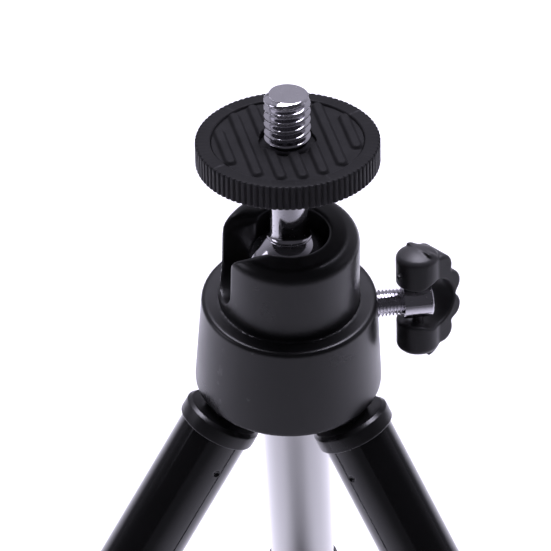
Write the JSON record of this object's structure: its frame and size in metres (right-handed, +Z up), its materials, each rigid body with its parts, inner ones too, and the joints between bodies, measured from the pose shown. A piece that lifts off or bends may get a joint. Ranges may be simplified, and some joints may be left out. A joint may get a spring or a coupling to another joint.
{
  "type": "mini tripod with ball head",
  "caption": "Pocket tripod: telescopic black legs that fold under a slotted ball head, with a side clamp knob and a round camera platform with a threaded stud.",
  "frame": {"origin": "centre of the circle on which the three feet stand, on the table plane", "axes": "+Z up through the head's axis; one leg points along +Y and the other two forward, left and right of -Y"},
  "size_m": [0.1596, 0.1398, 0.1771],
  "materials": {
    "head_black": "satin black paint on a die-cast head",
    "hub_black": "moulded black plastic, fine matte",
    "cap_black": "moulded black plastic with a soft gloss",
    "platform_black": "moulded black plastic with a knurled rim",
    "knob_black": "moulded black plastic, satin",
    "tube_black": "gloss black lacquer on a thin tube",
    "tube_bright": "bright plated tube",
    "bright_plate": "bright nickel plate with fine turning marks",
    "steel": "plain zinc-plated steel",
    "brass": "turned brass",
    "pad_rubber": "moulded black rubber, matte",
    "foot_rubber": "moulded black rubber, matte",
    "nylon": "natural nylon"
  },
  "bodies": {
    "head": {"head_housing": "head_black", "leg_hub": "hub_black", "hub_screws": "steel", "hinge_pins": "steel"},
    "ball_cup": {"brake_cup": "brass"},
    "plunger": {"brake_plunger": "brass"},
    "screw": {"clamp_screw": "bright_plate"},
    "knob": {"wing_knob": "knob_black", "knob_pin": "steel"},
    "ball_swivel": {"ball_pad": "nylon"},
    "ball_joint": {"ball": "bright_plate"},
    "camera_plate": {"stud": "bright_plate", "platform": "platform_black", "rubber_pad": "pad_rubber"},
    "leg_1": {"leg_cap_1": "cap_black", "upper_tube_1": "tube_black", "ferrule_1": "cap_black"},
    "lower_leg_1": {"lower_tube_1": "tube_bright", "slide_bush_1": "nylon", "foot_1": "foot_rubber"},
    "leg_2": {"leg_cap_2": "cap_black", "upper_tube_2": "tube_black", "ferrule_2": "cap_black"},
    "lower_leg_2": {"lower_tube_2": "tube_bright", "slide_bush_2": "nylon", "foot_2": "foot_rubber"},
    "leg_3": {"leg_cap_3": "cap_black", "upper_tube_3": "tube_black", "ferrule_3": "cap_black"},
    "lower_leg_3": {"lower_tube_3": "tube_bright", "slide_bush_3": "nylon", "foot_3": "foot_rubber"}
  },
  "joints": [
    {"name": "ball_swing", "type": "hinge", "parent": "head", "child": "ball_swivel", "pos_m": [0, 0, 0.1496], "axis": [0.9781, 0.2079, 0], "range_deg": [-6.5, 23.5]},
    {"name": "ball_tilt", "type": "hinge", "parent": "ball_swivel", "child": "ball_joint", "pos_m": [0, 0, 0.1496], "axis": [0.2056, -0.9674, 0.1478], "range_deg": [-10, 90]},
    {"name": "stud_spin", "type": "hinge", "parent": "ball_joint", "child": "camera_plate", "pos_m": [0, 0, 0.1496], "axis": [-0.0307, 0.1446, 0.989], "continuous": true},
    {"name": "plunger_slide", "type": "slide", "parent": "head", "child": "plunger", "axis": [0.9781, 0.2079, 0], "range_m": [0, 0.001]},
    {"name": "knob_turn", "type": "hinge", "parent": "plunger", "child": "screw", "pos_m": [0, 0, 0.1409], "axis": [0.9781, 0.2079, 0], "range_deg": [0, 720]},
    {"name": "cup_lift", "type": "slide", "parent": "head", "child": "ball_cup", "axis": [0, 0, 1], "range_m": [-0.00058, 0]},
    {"name": "knob_fold", "type": "hinge", "parent": "screw", "child": "knob", "pos_m": [0.01766, 0.00375, 0.1409], "axis": [-0.0361, 0.1699, 0.9848], "range_deg": [-55, 15]},
    {"name": "leg_fold_1", "type": "hinge", "parent": "head", "child": "leg_1", "pos_m": [0, 0.0071, 0.13102], "axis": [-1, 0, 0], "range_deg": [0, 31.7]},
    {"name": "leg_slide_1", "type": "slide", "parent": "leg_1", "child": "lower_leg_1", "axis": [0, 0.5255, -0.8508], "range_m": [0, 0.09]},
    {"name": "leg_fold_2", "type": "hinge", "parent": "head", "child": "leg_2", "pos_m": [-0.00615, -0.00355, 0.13102], "axis": [0.5, -0.866, 0], "range_deg": [0, 31.7]},
    {"name": "leg_slide_2", "type": "slide", "parent": "leg_2", "child": "lower_leg_2", "axis": [-0.4551, -0.2627, -0.8508], "range_m": [0, 0.09]},
    {"name": "leg_fold_3", "type": "hinge", "parent": "head", "child": "leg_3", "pos_m": [0.00615, -0.00355, 0.13102], "axis": [0.5, 0.866, 0], "range_deg": [0, 31.7]},
    {"name": "leg_slide_3", "type": "slide", "parent": "leg_3", "child": "lower_leg_3", "axis": [0.4551, -0.2627, -0.8508], "range_m": [0, 0.09]}
  ],
  "couplings": [
    {"joint": "knob_turn", "follows": "plunger_slide", "rad_per_m": 12566},
    {"joint": "cup_lift", "follows": "plunger_slide", "ratio": -0.57735}
  ]
}
